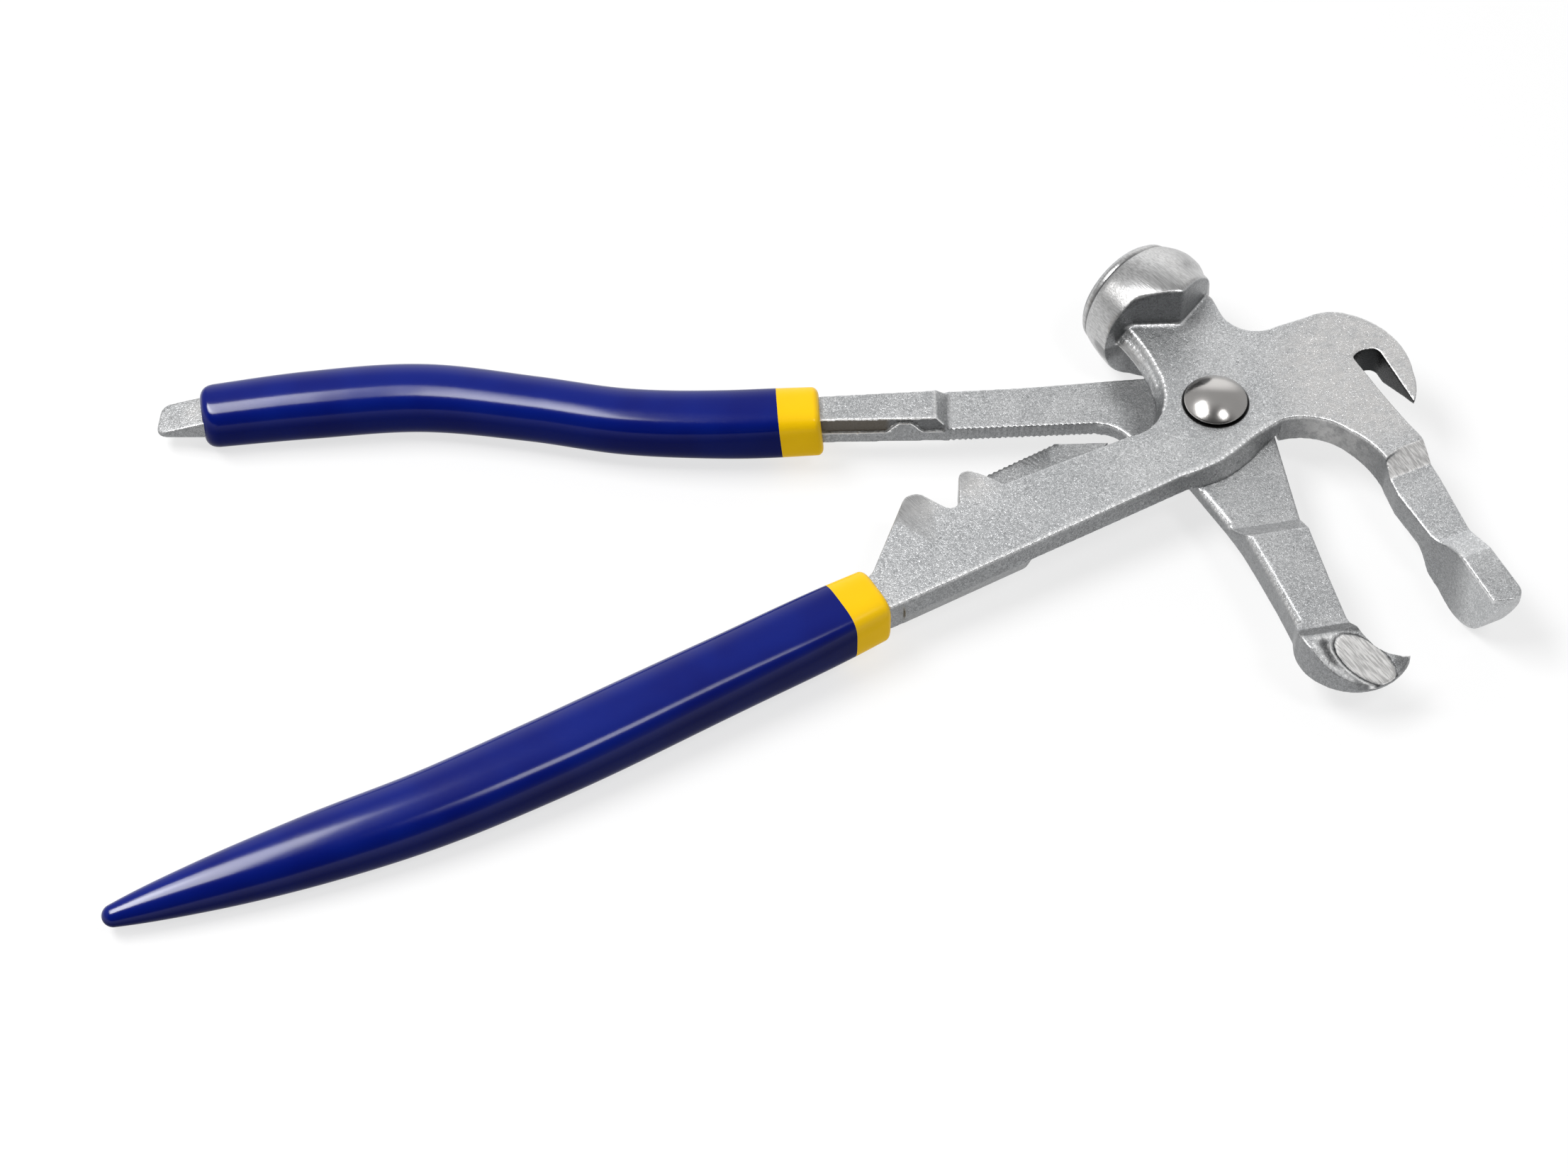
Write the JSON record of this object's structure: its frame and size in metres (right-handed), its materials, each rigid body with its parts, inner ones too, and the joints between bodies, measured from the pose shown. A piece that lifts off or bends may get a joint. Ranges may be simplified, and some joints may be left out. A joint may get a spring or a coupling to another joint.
{
  "type": "wheel weight hammer pliers",
  "caption": "Steel wheel-weight pliers with a hammer head, slotted beak, stepped foot and claw jaws, serrated gap, domed rivet, and dipped dark blue grips with yellow collars.",
  "frame": {"origin": "on the rivet's axis, at the rear lever's flat back", "axes": "+X from the handle ends towards the jaws, +Y towards the hammer's side, +Z along the rivet towards its domed head"},
  "size_m": [0.2633, 0.159, 0.0276],
  "materials": {
    "front_steel": "satin plated forging, ground and polished at the working edges",
    "rear_steel": "satin plated forging, ground bright on the claw",
    "rivet_steel": "polished",
    "blue_vinyl": "glossy dipped vinyl",
    "yellow_vinyl": "glossy dipped vinyl"
  },
  "bodies": {
    "front_half": {"front_lever": "front_steel", "pivot_rivet": "rivet_steel", "front_grip": "blue_vinyl", "front_collar": "yellow_vinyl"},
    "rear_half": {"rear_lever": "rear_steel", "rear_grip": "blue_vinyl", "rear_collar": "yellow_vinyl"}
  },
  "joints": [
    {"name": "pivot", "type": "hinge", "parent": "front_half", "child": "rear_half", "pos_m": [0, 0, 0.0035], "axis": [0, 0, 1], "range_deg": [-12, 7]}
  ]
}
